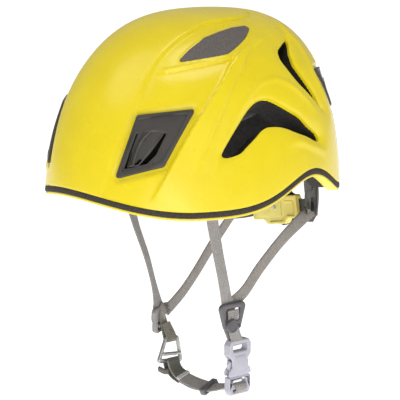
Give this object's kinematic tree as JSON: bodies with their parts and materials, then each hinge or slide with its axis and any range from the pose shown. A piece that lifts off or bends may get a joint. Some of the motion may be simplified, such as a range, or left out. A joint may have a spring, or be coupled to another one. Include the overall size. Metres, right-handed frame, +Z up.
{
  "type": "climbing helmet",
  "caption": "Climbing helmet: vented hard shell over a foam liner, with lamp clips, pads, nape dial and a buckled webbing chin strap.",
  "frame": {"origin": "centre of the head opening, on the middle plane, close to the level of the front rim: where the head seats", "axes": "the front of the helmet faces -Y, the wearer's left is +X, and +Z is up through the crown"},
  "size_m": [0.2246, 0.2745, 0.3362],
  "materials": {
    "shell_yellow": "gloss",
    "foam": "matt beaded foam",
    "dark_plastic": "fine grained",
    "pad_fabric": "brushed knit",
    "webbing": "woven",
    "dark_webbing": "woven",
    "buckle_plastic": "satin",
    "ring_metal": "satin",
    "pin_steel": "turned",
    "housing_yellow": "satin"
  },
  "bodies": {
    "helmet": {"outer_shell": "shell_yellow", "foam_liner": "foam", "rim_trim": "shell_yellow", "lamp_clip_front_left": "dark_plastic", "lamp_clip_front_right": "dark_plastic", "lamp_clip_rear_left": "dark_plastic", "lamp_clip_rear_right": "dark_plastic", "brow_pad": "pad_fabric", "crown_pad": "pad_fabric", "side_pad_left": "pad_fabric", "side_pad_right": "pad_fabric", "strap_anchors": "dark_plastic", "side_strap_left": "webbing", "side_strap_right": "webbing", "nape_housing": "housing_yellow", "nape_cover": "dark_plastic", "dial_axle": "pin_steel", "hanger_left": "dark_plastic", "hanger_right": "dark_plastic"},
    "hook_front_left": {"clip_hook_front_left": "dark_plastic"},
    "hook_front_right": {"clip_hook_front_right": "dark_plastic"},
    "hook_rear_left": {"clip_hook_rear_left": "dark_plastic"},
    "hook_rear_right": {"clip_hook_rear_right": "dark_plastic"},
    "left_harness": {"strap_ring_left": "dark_plastic", "lower_web_left": "webbing", "buckle_socket": "buckle_plastic"},
    "right_ring": {"strap_ring_right": "dark_plastic"},
    "plug": {"buckle_plug": "buckle_plastic", "lower_web_right": "webbing", "triangle_ring": "ring_metal", "chin_web": "dark_webbing"},
    "prong_front": {"buckle_prong_front": "buckle_plastic"},
    "prong_back": {"buckle_prong_back": "buckle_plastic"},
    "keeper": {"web_keeper": "dark_plastic"},
    "dial": {"adjuster_dial": "dark_plastic"},
    "arm_left": {"cradle_arm_left": "dark_plastic"},
    "arm_right": {"cradle_arm_right": "dark_plastic"}
  },
  "joints": [
    {"name": "front_left_hook_flex", "type": "hinge", "parent": "helmet", "child": "hook_front_left", "pos_m": [0.0618, -0.09743, 0.07685], "axis": [-0.7296, -0.6834, -0.0239], "range_deg": [0, 10], "stiffness_Nm_per_rad": 0.6},
    {"name": "front_right_hook_flex", "type": "hinge", "parent": "helmet", "child": "hook_front_right", "pos_m": [-0.0618, -0.09743, 0.07685], "axis": [-0.7296, 0.6834, 0.0239], "range_deg": [0, 10], "stiffness_Nm_per_rad": 0.6},
    {"name": "rear_left_hook_flex", "type": "hinge", "parent": "helmet", "child": "hook_rear_left", "pos_m": [0.05453, 0.0999, 0.10168], "axis": [0.7529, -0.6578, 0.0219], "range_deg": [0, 10], "stiffness_Nm_per_rad": 0.6},
    {"name": "rear_right_hook_flex", "type": "hinge", "parent": "helmet", "child": "hook_rear_right", "pos_m": [-0.05453, 0.0999, 0.10168], "axis": [0.7529, 0.6578, -0.0219], "range_deg": [0, 10], "stiffness_Nm_per_rad": 0.6},
    {"name": "left_ring_slide", "type": "slide", "parent": "helmet", "child": "left_harness", "axis": [0, 0, 1], "range_m": [-0.003, 0.002]},
    {"name": "right_ring_slide", "type": "slide", "parent": "helmet", "child": "right_ring", "axis": [0, 0, 1], "range_m": [-0.003, 0.002]},
    {"name": "buckle_release", "type": "slide", "parent": "left_harness", "child": "plug", "axis": [0, 0, -1], "range_m": [0, 0.018]},
    {"name": "front_prong_squeeze", "type": "hinge", "parent": "plug", "child": "prong_front", "pos_m": [0.05, 0.0008, -0.1485], "axis": [-1, 0, 0], "range_deg": [0, 7], "stiffness_Nm_per_rad": 0.4},
    {"name": "back_prong_squeeze", "type": "hinge", "parent": "plug", "child": "prong_back", "pos_m": [0.05, 0.0122, -0.1485], "axis": [1, 0, 0], "range_deg": [0, 7], "stiffness_Nm_per_rad": 0.4},
    {"name": "keeper_slide", "type": "slide", "parent": "plug", "child": "keeper", "axis": [0.9957, 0.0181, 0.0905], "range_m": [-0.004, 0.004]},
    {"name": "dial_turn", "type": "hinge", "parent": "helmet", "child": "dial", "pos_m": [0, 0.1, -0.02], "axis": [0, -1, 0], "range_deg": [0, 143]},
    {"name": "left_arm_slide", "type": "slide", "parent": "helmet", "child": "arm_left", "axis": [-0.9816, 0, -0.1908], "range_m": [0, 0.01]},
    {"name": "right_arm_slide", "type": "slide", "parent": "helmet", "child": "arm_right", "axis": [0.9816, 0, 0.1908], "range_m": [0, 0.01]}
  ],
  "couplings": [
    {"joint": "left_arm_slide", "follows": "dial_turn", "m_per_rad": 0.004},
    {"joint": "right_arm_slide", "follows": "dial_turn", "m_per_rad": 0.004}
  ]
}
